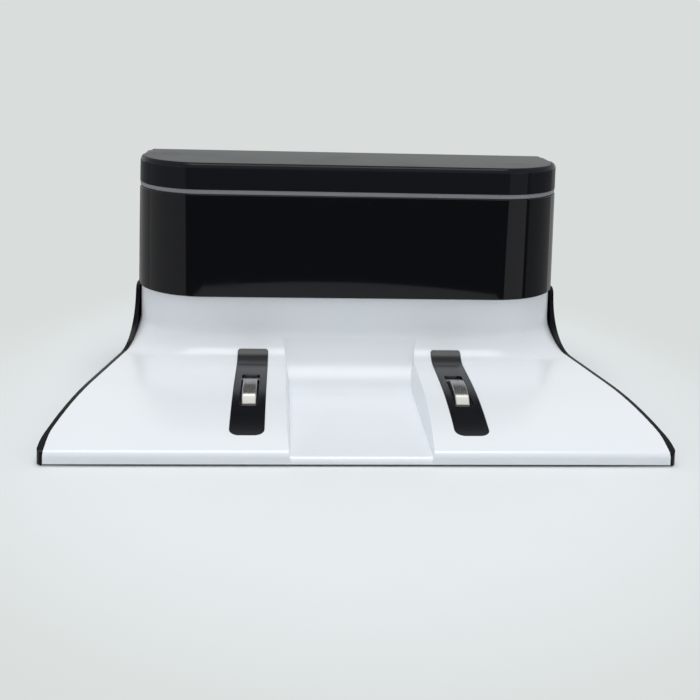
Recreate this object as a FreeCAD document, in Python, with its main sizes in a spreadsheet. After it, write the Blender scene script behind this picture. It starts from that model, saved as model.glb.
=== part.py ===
import FreeCAD, Part
import math
import operator
import os
import Sketcher

# Robot vacuum charging dock in millimetres.
# X runs to the right seen from the front, Y runs from the front edge to the back, Z runs up from the floor.
# Every piece is drawn with Y counted from the front edge, then placed with the middle of the depth at Y = 0.

SIZES = [
    # Overall outline in plan, taken at floor level
    ("depth", 134.0, "front edge to back wall"),
    ("height", 91.3, "floor to top of the cover"),
    ("front_width", 221.8, "outer width at the front corners"),
    ("tower_width", 184.2, "outer width of the tower"),
    ("flank_start", 7.4, "front end of the slanted flanks"),
    ("flank_end", 107.5, "rear end of the slanted flanks"),
    ("front_bend", 3.6, "convex bend to either side of a flank's front end"),
    ("rear_bend", 18.0, "concave bend to either side of a flank's rear end"),
    ("corner_round", 3.0, "front corners"),
    ("back_round", 6.0, "back corners"),
    ("outer_draft", 3.4, "lean of the outer sides, degrees"),
    # Rear housing with its two cheeks
    ("cheek_front", 2.3, "cheek thickness at the front corner"),
    ("cheek_tower", 2.4, "cheek thickness at the foot of the tower"),
    ("inner_start", 11.1, "front end of the flanks on the cheeks' inner side"),
    ("inner_end", 111.7, "rear end of the flanks on the cheeks' inner side"),
    ("inner_draft", 3.0, "lean of the inner sides, degrees"),
    ("back_wall", 2.2, "back wall thickness"),
    ("cheek_sweep_place", 87.4, "where the cheek edge starts to rise"),
    ("cheek_sweep_radius", 21.2, "rise of the cheek edge"),
    ("cheek_drop", 0.5, "cheek tops below the top of the cover"),
    ("foot_proud", 0.3, "gap under the housing that the feet leave"),
    # White front shell
    ("lip_height", 0.8, "lower edge of the nose"),
    ("nose_radius", 2.6, "rounding of the nose"),
    ("ramp_height", 12.3, "level part of the ramp"),
    ("crown_radius", 183.0, "convex bend of the ramp"),
    ("crown_place", 52.0, "where the ramp becomes level"),
    ("sweep_place", 74.0, "where the concave sweep starts"),
    ("sweep_radius", 12.5, "concave sweep into the wall"),
    ("wall_lean", 2.2, "backward lean of the front wall, degrees"),
    ("shell_wall", 2.4, "shell thickness"),
    ("corner_inset", 31.6, "upright axis of a rounded tower corner from the tower's side"),
    ("corner_axis", 115.5, "upright axes of the rounded tower corners from the front edge"),
    ("panel_bottom", 37.0, "top of the white wall and bottom of the window"),
    # Channel for the robot's front caster
    ("channel_floor", 3.2, "floor of the channel"),
    ("channel_wall", 1.6, "shell thickness under the channel"),
    ("channel_width", 49.6, "channel width at its floor"),
    ("channel_draft", 10.0, "lean of the channel walls, degrees"),
    ("channel_nose", 2.2, "rounding of the channel's front edge"),
    ("channel_set", 0.35, "channel sweep ahead of the wall, so that it fades into the ramp's sweep"),
    # Window, trim band and cover of the tower
    ("panel_proud", 1.0, "window face ahead of the white wall"),
    ("panel_wall", 2.2, "window thickness"),
    ("cover_depth", 10.5, "height of the cover"),
    ("band_height", 2.0, "height of the trim band under the cover"),
    ("band_wall", 2.6, "trim band thickness"),
    ("band_sink", 0.2, "trim band face behind the window face"),
    ("cover_wall", 2.2, "cover thickness"),
    ("cover_round", 2.0, "rounded front edge of the cover"),
    ("fit", 0.15, "clearance between pieces that seat in each other"),
    # Inlays and sprung contacts
    ("contact_spacing", 80.0, "between the two contacts"),
    ("bezel_width", 12.3, "inlay width"),
    ("bezel_front", 10.1, "front end of the inlay"),
    ("bezel_back", 82.8, "rear end of the inlay"),
    ("bezel_wall", 1.4, "inlay thickness"),
    ("bezel_front_round", 3.5, "front corners of the inlay"),
    ("bezel_back_round", 1.0, "rear corners of the inlay"),
    ("slot_place", 45.3, "middle of the contact slot"),
    ("slot_length", 31.0, "contact slot length"),
    ("slot_width", 6.9, "contact slot width"),
    ("slot_round", 1.0, "contact slot corners"),
    ("shoe_front", 33.8, "front end of the shoe"),
    ("shoe_length", 23.6, "contact shoe length"),
    ("shoe_width", 5.3, "contact shoe width"),
    ("shoe_wall", 0.5, "contact shoe sheet thickness"),
    ("shoe_skirt", 3.4, "lower edge of the shoe under the level ramp"),
    ("shoe_shoulder", 2.0, "foot of the shoe's slopes under the level ramp"),
    ("shoe_ridge", 0.4, "top of the steep front slope over the level ramp"),
    ("shoe_proud", 1.9, "top face of the shoe over the level ramp"),
    ("shoe_steep", 2.7, "length of the steep front slope"),
    ("shoe_rise", 7.4, "length of the gentle slope behind it"),
    ("shoe_fall", 6.4, "length of the rear slope"),
    ("shoe_bend", 7.0, "rounding across the shoe where its end slopes begin"),
    ("shoe_crown", 30.0, "rounding across the shoe where its top levels off"),
    ("shoe_round", 0.5, "rounding of the shoe's long edges"),
    ("carrier_gap", 0.3, "running clearance of the carrier"),
    ("lip_gap", 0.1, "play between the raised carrier and the guide's lip"),
    ("flange_width", 8.4, "carrier flange width"),
    ("flange_reach", 13.6, "carrier flange to either side of the slot's middle"),
    ("flange_wall", 1.4, "carrier flange thickness"),
    ("guide_wall", 1.4, "guide side wall thickness"),
    ("guide_lip", 1.2, "guide retaining lip thickness"),
    ("terminal_width", 5.6, "terminal plate width"),
    ("terminal_wall", 0.5, "terminal plate thickness"),
    ("terminal_tab", 6.0, "terminal tab behind the guide"),
    ("spring_width", 4.0, "leaf spring width"),
    ("spring_span", 22.0, "leaf spring length"),
    ("spring_wall", 0.3, "leaf spring thickness"),
    # Base plate, feet and its screws
    ("rim_setback", 0.6, "base plate edge behind the nose"),
    ("plate_top", 1.5, "base plate upper face"),
    ("foot_radius", 6.0, "rubber foot radius"),
    ("foot_recess", 0.5, "recess that holds a foot"),
    ("foot_front_side", 19.2, "front feet from the front corners"),
    ("foot_front_edge", 14.0, "front feet from the front edge"),
    ("foot_back_side", 16.9, "rear feet from the tower's sides"),
    ("foot_back_edge", 26.0, "rear feet from the back"),
    ("cup_radius", 4.2, "screw cup of the base plate"),
    ("cup_top", 4.0, "upper face of a screw cup"),
    ("cup_floor", 1.3, "material under a screw boss"),
    ("boss_radius", 3.4, "screw boss"),
    ("boss_depth", 4.6, "pilot hole depth"),
    ("boss_x", 70.0, "shell bosses from the middle"),
    ("boss_front_y", 28.0, "front shell bosses from the front edge"),
    ("boss_back_y", 60.0, "rear shell bosses from the front edge"),
    ("housing_boss_x", 64.0, "housing bosses from the middle"),
    ("housing_boss_height", 14.0, "top of the housing bosses"),
    ("screw_radius", 1.2, "screw thread core"),
    ("screw_hole", 1.6, "clearance hole radius"),
    ("screw_head", 2.7, "screw head radius"),
    ("screw_head_height", 1.8, "screw head height"),
    ("screw_reach", 4.0, "thread length in its boss"),
    # Board with its emitters
    ("board_width", 92.0, "board width"),
    ("board_below", 4.0, "board lower edge above the window's bottom"),
    ("board_above", 1.8, "board upper edge below the window's top"),
    ("board_front", 112.0, "board front face"),
    ("board_wall", 1.6, "board thickness"),
    ("post_x", 38.0, "board posts from the middle"),
    ("post_inset", 5.0, "board posts from the board's edges"),
    ("post_radius", 3.2, "board post radius"),
    ("emitter_radius", 2.5, "emitter barrel radius"),
    ("emitter_length", 6.1, "emitter barrel length"),
    ("emitter_tip", 1.3, "radius of the emitter's flattened tip"),
    ("emitter_taper", 2.2, "length of the emitter's tapered end"),
    ("emitter_pitch", 20.0, "between neighbouring emitters"),
    ("shroud_width", 34.0, "beam baffle width"),
    ("shroud_height", 11.0, "beam baffle height"),
    ("shroud_length", 13.0, "beam baffle length"),
    ("shroud_port", 14.0, "beam port width"),
    ("shroud_wall", 1.5, "beam baffle roof and floor"),
    ("header_width", 18.0, "plug header width"),
    ("header_height", 5.5, "plug header height"),
    ("header_length", 6.0, "plug header length"),
    # Power inlet
    ("dish_radius", 8.0, "shallow dish round the inlet"),
    ("dish_depth", 0.8, "depth of the dish"),
    ("jack_x", 52.0, "inlet from the middle"),
    ("jack_z", 13.0, "inlet axis above the floor"),
    ("jack_width", 10.0, "inlet body width"),
    ("jack_length", 12.0, "inlet body length"),
    ("jack_barrel", 4.0, "inlet barrel radius"),
    ("jack_bore", 2.85, "inlet bore radius"),
    ("jack_bore_depth", 9.0, "inlet bore depth"),
    ("jack_pin", 1.0, "centre pin radius"),
    ("jack_pin_short", 1.2, "centre pin end inside the mouth"),
    ("lead_radius", 0.8, "internal lead radius"),
    ("lead_run", 24.0, "contact lead's straight run along the base"),
    ("lead_rise", 13.0, "straight end of a lead under the header"),
    ("lead_clear", 10.0, "inlet lead's straight run out of the inlet"),
]

SIDES = {"left": -1, "right": 1}
BEYOND = 6.0
TOUCH = 1e-4
FORM_FLOOR = -4.0
QUARTER_TURN = 90
BAND_TURN = 88
OVER_TURN = 10
END_SHARE = 0.85
MIDDLE_SHARE = 0.48
FORWARD = FreeCAD.Rotation(FreeCAD.Vector(1, 0, 0), 90)
OPERATORS = {"+": operator.add, "-": operator.sub, "*": operator.mul, "/": operator.truediv}


class Size:
    """A dimension held both as a number and as the sheet expression that gives it."""

    def __init__(self, value, text):
        self.value = value
        self.text = text

    def __add__(self, other):
        return join(self, "+", other)

    def __radd__(self, other):
        return join(other, "+", self)

    def __sub__(self, other):
        return join(self, "-", other)

    def __rsub__(self, other):
        return join(other, "-", self)

    def __mul__(self, other):
        return join(self, "*", other)

    def __rmul__(self, other):
        return join(other, "*", self)

    def __truediv__(self, other):
        return join(self, "/", other)

    def __neg__(self):
        return join(-1, "*", self)


def as_size(number):
    if isinstance(number, Size):
        return number
    return Size(float(number), repr(float(number)))


def join(first, sign, second):
    first = as_size(first)
    second = as_size(second)
    value = OPERATORS[sign](first.value, second.value)
    return Size(value, f"({first.text} {sign} {second.text})")


def root(size):
    return Size(math.sqrt(size.value), f"sqrt({size.text})")


def sine(angle):
    return Size(math.sin(math.radians(angle.value)), f"sin({angle.text})")


def cosine(angle):
    return Size(math.cos(math.radians(angle.value)), f"cos({angle.text})")


def tangent(angle):
    return Size(math.tan(math.radians(angle.value)), f"tan({angle.text})")


doc = FreeCAD.newDocument("charging_dock")
sheet = doc.addObject("Spreadsheet::Sheet", "dims")


def size_from_sheet(row, alias, value, note):
    sheet.set(f"A{row}", alias)
    sheet.set(f"B{row}", str(value))
    sheet.set(f"C{row}", note)
    sheet.setAlias(f"B{row}", alias)
    return Size(value, f"dims.{alias}")


D = {alias: size_from_sheet(row, alias, value, note) for row, (alias, value, note) in enumerate(SIZES, 1)}
doc.recompute()
nodes = []

# Sizes that follow from others

D["band_top"] = D["height"] - D["cover_depth"]
D["band_bottom"] = D["band_top"] - D["band_height"]
D["cheek_height"] = D["height"] - D["cheek_drop"]
D["corner_place"] = D["tower_width"] / 2 - D["corner_inset"]
D["board_bottom"] = D["panel_bottom"] + D["board_below"]
D["board_top"] = D["band_bottom"] - D["board_above"]
D["emitter_height"] = (D["board_bottom"] + D["board_top"]) / 2


def bind(thing, path, size):
    thing.setExpression(path, as_size(size).text)


def keep(thing, label):
    """Name a finished sub-part and centre its depth on the origin."""
    thing.Label = label
    bind(thing, "Placement.Base.y", -D["depth"] / 2)
    nodes.append(thing)
    return thing


# Sketches and features

def origin_plane(body, role):
    return next(plane for plane in body.Origin.OriginFeatures if plane.Role == role)


def new_body(name):
    return doc.addObject("PartDesign::Body", name)


def spot(corner):
    return FreeCAD.Vector(as_size(corner[0]).value, as_size(corner[1]).value, 0)


def fix_point(sketch, geometry, end, u, v):
    for kind, place in (("DistanceX", u), ("DistanceY", v)):
        place = as_size(place)
        rule = sketch.addConstraint(Sketcher.Constraint(kind, -1, 1, geometry, end, place.value))
        bind(sketch, f"Constraints[{rule}]", place)


def fix_radius(sketch, geometry, radius):
    rule = sketch.addConstraint(Sketcher.Constraint("Radius", geometry, as_size(radius).value))
    bind(sketch, f"Constraints[{rule}]", radius)


def add_arc(sketch, start, end, radius, left_turn):
    """Add the short arc from start to end and return it with the numbers of its two ends."""
    chord = end - start
    rise = math.sqrt(max(radius ** 2 - (chord.Length / 2) ** 2, 0))
    normal = FreeCAD.Vector(-chord.y, chord.x, 0).normalize()
    centre = (start + end) / 2 + normal * (rise if left_turn else -rise)
    first, last = (start, end) if left_turn else (end, start)
    angles = [math.atan2(point.y - centre.y, point.x - centre.x) for point in (first, last)]
    circle = Part.Circle(centre, FreeCAD.Vector(0, 0, 1), radius)
    geometry = sketch.addGeometry(Part.ArcOfCircle(circle, *angles), False)
    return geometry, (1, 2) if left_turn else (2, 1)


def add_outline(sketch, corners):
    """Close an outline through (u, v) corners; (u, v, radius, turn) leaves its corner on an arc."""
    edges = []
    for corner, following in zip(corners, corners[1:] + corners[:1]):
        start = spot(corner)
        end = spot(following)
        if len(corner) == 2:
            edges.append((sketch.addGeometry(Part.LineSegment(start, end), False), (1, 2)))
        else:
            edges.append(add_arc(sketch, start, end, as_size(corner[2]).value, corner[3] == "left"))
    for corner, (geometry, ends), (before, before_ends) in zip(corners, edges, edges[-1:] + edges[:-1]):
        sketch.addConstraint(Sketcher.Constraint("Coincident", before, before_ends[1], geometry, ends[0]))
        fix_point(sketch, geometry, ends[0], corner[0], corner[1])
        if len(corner) > 2:
            fix_radius(sketch, geometry, corner[2])


def draw(body, plane, outlines=(), circles=(), lift=0, axis=None):
    """Sketch on one of the body's origin planes, with an upright construction axis where one is given."""
    sketch = body.newObject("Sketcher::SketchObject", "sketch")
    sketch.AttachmentSupport = [(origin_plane(body, plane), "")]
    sketch.MapMode = "FlatFace"
    bind(sketch, "AttachmentOffset.Base.z", lift)
    for outline in outlines:
        add_outline(sketch, outline)
    for u, v, radius in circles:
        circle = Part.Circle(spot((u, v)), FreeCAD.Vector(0, 0, 1), as_size(radius).value)
        geometry = sketch.addGeometry(circle, False)
        fix_point(sketch, geometry, 3, u, v)
        fix_radius(sketch, geometry, radius)
    if axis is not None:
        ends = (spot((axis, 0)), spot((axis, BEYOND)))
        geometry = sketch.addGeometry(Part.LineSegment(*ends), True)
        fix_point(sketch, geometry, 1, axis, 0)
        fix_point(sketch, geometry, 2, axis, BEYOND)
    return sketch


def pad(body, sketch, length, both_ways=False):
    feature = body.newObject("PartDesign::Pad", "pad")
    feature.Profile = sketch
    feature.SideType = "Symmetric" if both_ways else "One side"
    bind(feature, "Length", length)
    return feature


def pocket(body, sketch, length=None, upward=False):
    """Cut a sketch through everything both ways, or to a depth along or against its normal."""
    feature = body.newObject("PartDesign::Pocket", "pocket")
    feature.Profile = sketch
    if length is None:
        feature.Type = "ThroughAll"
        feature.SideType = "Symmetric"
    else:
        bind(feature, "Length", length)
        feature.Reversed = upward
    return feature


def turn(body, kind, sketch, angle):
    """Revolve a sketch about its construction axis and repeat it on the other side of the dock."""
    feature = body.newObject(kind, "turn")
    feature.Profile = sketch
    feature.ReferenceAxis = (sketch, ["Axis0"])
    feature.Angle = angle
    mirror = body.newObject("PartDesign::Mirrored", "mirror")
    mirror.Originals = [feature]
    mirror.MirrorPlane = (origin_plane(body, "YZ_Plane"), [""])
    body.Tip = mirror
    return feature


def rectangle(x_low, y_low, x_high, y_high):
    return [(x_low, y_low), (x_high, y_low), (x_high, y_high), (x_low, y_high)]


def rounded(x_low, y_low, x_high, y_high, low_round, high_round):
    """Rectangle whose front corners and rear corners have their own radii."""
    return [
        (x_low + low_round, y_low),
        (x_high - low_round, y_low, low_round, "left"),
        (x_high, y_low + low_round),
        (x_high, y_high - high_round, high_round, "left"),
        (x_high - high_round, y_high),
        (x_low + high_round, y_high, high_round, "left"),
        (x_low, y_high - high_round),
        (x_low, y_low + low_round, low_round, "left"),
    ]


# Solids and booleans

def cut(base, tool, name="cut"):
    thing = doc.addObject("Part::Cut", name)
    thing.Base = base
    thing.Tool = tool
    return thing


def common(base, tool, name="common"):
    thing = doc.addObject("Part::Common", name)
    thing.Base = base
    thing.Tool = tool
    return thing


def fuse(things, name="fuse"):
    thing = doc.addObject("Part::MultiFuse", name)
    thing.Shapes = things
    thing.Refine = True
    return thing


def group(things, name):
    thing = doc.addObject("Part::Compound", name)
    thing.Links = things
    return thing


def move(thing, x, y, z):
    for axis, place in zip("xyz", (x, y, z)):
        bind(thing, f"Placement.Base.{axis}", place)


def box(x, y, z, width, length, height):
    """Block centred on x, with its front at y and its underside at z."""
    thing = doc.addObject("Part::Box", "box")
    for side, size in (("Length", width), ("Width", length), ("Height", height)):
        bind(thing, side, size)
    move(thing, x - width / 2, y, z)
    return thing


def rod(x, y, z, radius, length, forward=False):
    """Cylinder that rises from its place, or runs forward from it."""
    thing = doc.addObject("Part::Cylinder", "rod")
    bind(thing, "Radius", radius)
    bind(thing, "Height", length)
    if forward:
        thing.Placement.Rotation = FORWARD
    move(thing, x, y, z)
    return thing


# Outline of the dock in plan

def half_outline(front, tower, start, end, first, last):
    """Right side from the front to the back: straight, convex bend, slanted flank, concave bend, straight."""
    slant = (front - tower) / (end - start)
    slope = root(1 + slant * slant)
    convex = D["front_bend"]
    concave = D["rear_bend"]
    return first + [
        (front, start - convex, convex * slant / (slope - 1), "left"),
        (front - convex * slant / slope, start + convex / slope),
        (tower + concave * slant / slope, end - concave / slope, concave * slant / (slope - 1), "right"),
        (tower, end + concave),
    ] + last


def mirrored_outline(right_side):
    """Close a right-hand outline with its mirror image, keeping the arcs on the edges they belong to."""
    left_side = []
    for index in range(len(right_side) - 1, -1, -1):
        corner = right_side[index]
        arc = right_side[index - 1][2:] if index else ()
        left_side.append((-corner[0], corner[1]) + arc)
    return right_side + left_side


def outer_outline(inset):
    front = D["front_width"] / 2 - inset
    tower = D["tower_width"] / 2 - inset
    corner = D["corner_round"]
    back = D["back_round"]
    first = [(front - corner, as_size(0), corner, "left"), (front, corner)]
    last = [(tower, D["depth"] - back, back, "left"), (tower - back, D["depth"])]
    return mirrored_outline(half_outline(front, tower, D["flank_start"], D["flank_end"], first, last))


def inner_outline(inset, front_edge, back_inset):
    front = D["front_width"] / 2 - D["cheek_front"] - inset
    tower = D["tower_width"] / 2 - D["cheek_tower"] - inset
    first = [(front, front_edge)]
    last = [(tower, D["depth"] - D["back_wall"] - back_inset)]
    return mirrored_outline(half_outline(front, tower, D["inner_start"], D["inner_end"], first, last))


def loft(name, low_outline, high_outline, low, high):
    body = new_body(name)
    feature = body.newObject("PartDesign::AdditiveLoft", "loft")
    feature.Profile = draw(body, "XY_Plane", [low_outline], lift=low)
    feature.Sections = [draw(body, "XY_Plane", [high_outline], lift=high)]
    feature.Ruled = True
    return body


def outer_block(name, inset, low, high):
    slope = tangent(D["outer_draft"])
    outlines = [outer_outline(inset + level * slope) for level in (low, high)]
    return loft(name, outlines[0], outlines[1], low, high)


def inner_block(name, inset, low, high):
    slope = tangent(D["inner_draft"])
    outlines = [inner_outline(inset + level * slope, as_size(-BEYOND), inset) for level in (low, high)]
    return loft(name, outlines[0], outlines[1], low, high)


# Side profile of the front

def nose_height():
    """Height of the nose centre that makes the nose run smoothly into the ramp."""
    reach = D["crown_radius"] - D["nose_radius"]
    ahead = D["crown_place"] - D["nose_radius"]
    return D["ramp_height"] - D["crown_radius"] + root(reach * reach - ahead * ahead)


def ramp_start(skin):
    """Point where the nose ends and the ramp starts, at a depth of skin under the surface."""
    reach = D["crown_radius"] - D["nose_radius"]
    centre_z = D["ramp_height"] - D["crown_radius"]
    radius = D["crown_radius"] - skin
    y = D["crown_place"] - radius * (D["crown_place"] - D["nose_radius"]) / reach
    z = centre_z + radius * (nose_height() - centre_z) / reach
    return y, z


def sweep_end(skin):
    """Point where the ramp's concave sweep becomes the leaning wall."""
    radius = D["sweep_radius"] + skin
    y = D["sweep_place"] + radius * cosine(D["wall_lean"])
    z = D["ramp_height"] + D["sweep_radius"] - radius * sine(D["wall_lean"])
    return y, z


def channel_sweep():
    """Start and radius of the larger sweep that takes the channel's floor up to the same wall."""
    drop = (D["ramp_height"] - D["channel_floor"]) / (1 - sine(D["wall_lean"]))
    start = D["sweep_place"] - drop * cosine(D["wall_lean"]) - D["channel_set"]
    return start, D["sweep_radius"] + drop


def wall_y(z, skin):
    """Place of the leaning wall at height z, at a depth of skin behind its face."""
    y, start_z = sweep_end(skin)
    return y + (z - start_z) * tangent(D["wall_lean"])


def ramp_level(y, skin):
    """Height of the convex ramp at a place, at a depth of skin under its surface."""
    radius = D["crown_radius"] - skin
    ahead = D["crown_place"] - y
    return D["ramp_height"] - D["crown_radius"] + root(radius * radius - ahead * ahead)


def ramp_profile(skin):
    y, z = ramp_start(skin)
    return [
        (skin, nose_height(), D["nose_radius"] - skin, "right"),
        (y, z, D["crown_radius"] - skin, "right"),
        (D["crown_place"], D["ramp_height"] - skin),
        (D["sweep_place"], D["ramp_height"] - skin, D["sweep_radius"] + skin, "left"),
        sweep_end(skin),
    ]


def channel_profile(skin):
    level = D["channel_floor"]
    start, radius = channel_sweep()
    end_y, end_z = sweep_end(skin)
    return [
        (skin, level - D["channel_nose"], D["channel_nose"] - skin, "right"),
        (D["channel_nose"], level - skin),
        (start, level - skin, radius + skin, "left"),
        (end_y - D["channel_set"], end_z),
    ]


def solid_under(profile, skin, reach):
    """Close a side profile into the section of everything behind and below it."""
    top = D["panel_bottom"] + BEYOND
    return profile + [
        (wall_y(top, skin), top),
        (D["corner_axis"] + reach, top),
        (D["corner_axis"] + reach, as_size(FORM_FLOOR)),
        (skin, as_size(FORM_FLOOR)),
    ]


def front_form(name, skin, reach):
    """Ramp, sweep and wall as a solid, with the wall and its sweep carried round the tower corners."""
    body = new_body(name)
    pad(body, draw(body, "YZ_Plane", [solid_under(ramp_profile(skin), skin, reach)]),
        D["front_width"] + 2 * BEYOND, both_ways=True)
    top = D["panel_bottom"] + 2 * BEYOND
    far = D["crown_place"]
    void = [
        (far, D["ramp_height"] - skin),
        (D["sweep_place"], D["ramp_height"] - skin, D["sweep_radius"] + skin, "left"),
        sweep_end(skin),
        (wall_y(top, skin), top),
        (far, top),
    ]
    sketch = draw(body, "YZ_Plane", [void], lift=D["corner_place"], axis=D["corner_axis"])
    turn(body, "PartDesign::Groove", sketch, QUARTER_TURN + OVER_TURN)
    return body


def channel_form(name, skin, reach):
    body = new_body(name)
    pad(body, draw(body, "YZ_Plane", [solid_under(channel_profile(skin), skin, reach)]),
        D["front_width"], both_ways=True)
    return body


def channel_wedge(name, skin):
    """Everything between the two leaning channel walls, moved outwards by skin."""
    body = new_body(name)
    spread = skin / cosine(D["channel_draft"])
    top = D["panel_bottom"]
    slope = tangent(D["channel_draft"])
    low = D["channel_width"] / 2 + spread + (FORM_FLOOR - D["channel_floor"]) * slope
    high = D["channel_width"] / 2 + spread + (top - D["channel_floor"]) * slope
    outline = [(-low, as_size(FORM_FLOOR)), (low, as_size(FORM_FLOOR)), (high, top), (-high, top)]
    pad(body, draw(body, "XZ_Plane", [outline]), 2 * D["corner_axis"], both_ways=True)
    return body


def front_block(name, skin, floor_skin, reach):
    """Front form without the caster channel, at a depth under the ramp and one under the channel's floor."""
    void = cut(channel_wedge(f"{name}_wedge", skin), channel_form(f"{name}_channel", floor_skin, reach))
    return cut(front_form(f"{name}_form", skin, reach), void, name)


# Ramp shell

def contact_x(side):
    return side * D["contact_spacing"] / 2


def ramp_band(upper, lower):
    """Closed strip of the ramp's profile between two depths under its surface."""
    top = ramp_profile(upper)[1:]
    bottom = ramp_profile(lower)[1:]
    back = []
    for index in range(len(bottom) - 1, -1, -1):
        arc = bottom[index - 1][2:] if index else ()
        swap = {"left": "right", "right": "left"}
        back.append(bottom[index][:2] + ((arc[0], swap[arc[1]]) if arc else ()))
    return top + back


def bezel_form(name, side, upper, lower, grow):
    """Inlay that follows the ramp, at its own size or grown into the recess that holds it."""
    body = new_body(name)
    half = D["bezel_width"] / 2 + grow
    middle = contact_x(side)
    band = draw(body, "YZ_Plane", [ramp_band(upper, lower)], lift=middle)
    pad(body, band, 2 * half + BEYOND, both_ways=True)
    shape = rounded(middle - half, D["bezel_front"] - grow, middle + half, D["bezel_back"] + grow,
                    D["bezel_front_round"] + grow, D["bezel_back_round"] + grow)
    around = rectangle(middle - half - BEYOND, as_size(-BEYOND), middle + half + BEYOND, D["depth"])
    pocket(body, draw(body, "XY_Plane", [around, shape]))
    return body


def slot_outline(side, grow):
    half = D["slot_width"] / 2 + grow
    reach = D["slot_length"] / 2 + grow
    radius = D["slot_round"] + grow
    middle = contact_x(side)
    place = D["slot_place"]
    return rounded(middle - half, place - reach, middle + half, place + reach, radius, radius)


def slot_opening(name, side):
    """Space under a recess through which the contact comes up."""
    body = new_body(name)
    pad(body, draw(body, "XY_Plane", [slot_outline(side, D["carrier_gap"])]), D["ramp_height"])
    return body


def shell_boss_places():
    return [(side * D["boss_x"], y) for side in SIDES.values() for y in (D["boss_front_y"], D["boss_back_y"])]


def make_ramp_shell():
    outside = front_block("shell_outside", as_size(0), as_size(0), as_size(-BEYOND))
    inside = front_block("shell_inside", D["shell_wall"], D["channel_wall"], as_size(BEYOND))
    skin = cut(outside, inside)
    posts = [rod(x, y, D["cup_top"], D["boss_radius"], D["ramp_height"]) for x, y in shell_boss_places()]
    bosses = common(fuse(posts), outside)
    pilots = [rod(x, y, D["cup_top"], D["screw_radius"], D["boss_depth"]) for x, y in shell_boss_places()]
    limits = inner_block("shell_limits", D["fit"], D["lip_height"], D["panel_bottom"])
    blank = common(fuse([skin, bosses]), limits)
    openings = list(pilots)
    recess_depth = D["bezel_wall"] + D["fit"]
    for label, side in SIDES.items():
        openings.append(bezel_form(f"recess_{label}", side, as_size(-1), recess_depth, D["fit"]))
        openings.append(slot_opening(f"opening_{label}", side))
    keep(cut(blank, fuse(openings), "ramp_shell_piece"), "ramp_shell")


# Rear housing

def post_places():
    heights = (D["board_bottom"] + D["post_inset"], D["board_top"] - D["post_inset"])
    return [(side * D["post_x"], z) for side in SIDES.values() for z in heights]


def housing_boss_y():
    return D["depth"] - D["back_wall"] - D["cup_radius"] - 4 * D["fit"]


def housing_boss_places():
    return [(side * D["housing_boss_x"], housing_boss_y()) for side in SIDES.values()]


def cheek_form():
    """Side view of the housing: its edge follows the ramp, rises to the window and goes on behind it."""
    body = new_body("cheek_form")
    y, z = ramp_start(as_size(0))
    rise = D["cheek_sweep_radius"]
    behind_window = D["corner_axis"] + D["fit"]
    outline = [
        (as_size(0), nose_height(), D["nose_radius"], "right"),
        (y, z, D["crown_radius"], "right"),
        (D["crown_place"], D["ramp_height"]),
        (D["cheek_sweep_place"], D["ramp_height"], rise, "left"),
        (D["cheek_sweep_place"] + rise, D["ramp_height"] + rise),
        (D["cheek_sweep_place"] + rise, D["panel_bottom"]),
        (behind_window, D["panel_bottom"]),
        (behind_window, D["cheek_height"]),
        (D["depth"] + BEYOND, D["cheek_height"]),
        (D["depth"] + BEYOND, D["foot_proud"]),
        (as_size(0), D["foot_proud"]),
    ]
    pad(body, draw(body, "YZ_Plane", [outline]), D["front_width"] + BEYOND, both_ways=True)
    return body


def make_rear_housing():
    hollow = inner_block("housing_hollow", as_size(0), as_size(-BEYOND), D["height"] + BEYOND)
    outside = outer_block("housing_outside", as_size(0), as_size(0), D["height"])
    ring = common(cut(outside, hollow), cheek_form())
    inner_face = D["depth"] - D["back_wall"] / 2
    board_back = D["board_front"] + D["board_wall"]
    pieces = [ring]
    holes = []
    for x, z in post_places():
        pieces.append(rod(x, inner_face, z, D["post_radius"], inner_face - board_back, forward=True))
        pilot_end = board_back + D["boss_depth"]
        holes.append(rod(x, pilot_end, z, D["screw_radius"], D["boss_depth"], forward=True))
    for x, y in housing_boss_places():
        tall = D["housing_boss_height"] - D["cup_top"]
        pieces.append(rod(x, y, D["cup_top"], D["boss_radius"], tall))
        pieces.append(box(x, y, D["cup_top"], D["back_wall"], inner_face - y, tall))
        holes.append(rod(x, y, D["cup_top"], D["screw_radius"], D["boss_depth"]))
    behind = D["depth"] + BEYOND
    dish = (D["dish_radius"], D["dish_depth"])
    mouth = (D["jack_barrel"] + D["fit"], D["back_wall"] + BEYOND)
    for radius, reach in (dish, mouth):
        holes.append(rod(D["jack_x"], behind, D["jack_z"], radius, BEYOND + reach, forward=True))
    keep(cut(fuse(pieces), fuse(holes), "rear_housing_piece"), "rear_housing")


# Tower front

def wrapped(name, section, sweep):
    """Carry an upright section along the straight front and round both tower corners."""
    body = new_body(name)
    pad(body, draw(body, "YZ_Plane", [section]), 2 * D["corner_place"], both_ways=True)
    sketch = draw(body, "YZ_Plane", [section], lift=D["corner_place"], axis=D["corner_axis"])
    turn(body, "PartDesign::Revolution", sketch, sweep)
    return body


def band_section(low, high, sink, wall):
    face = sink - D["panel_proud"]
    return [(wall_y(low, face), low), (wall_y(low, face + wall), low),
            (wall_y(high, face + wall), high), (wall_y(high, face), high)]


def make_front_band(label, low, high, sink, wall):
    strip = wrapped(f"{label}_strip", band_section(low, high, sink, wall), BAND_TURN)
    keep(common(strip, outer_block(f"{label}_limits", D["fit"], low, high), f"{label}_piece"), label)


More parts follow.
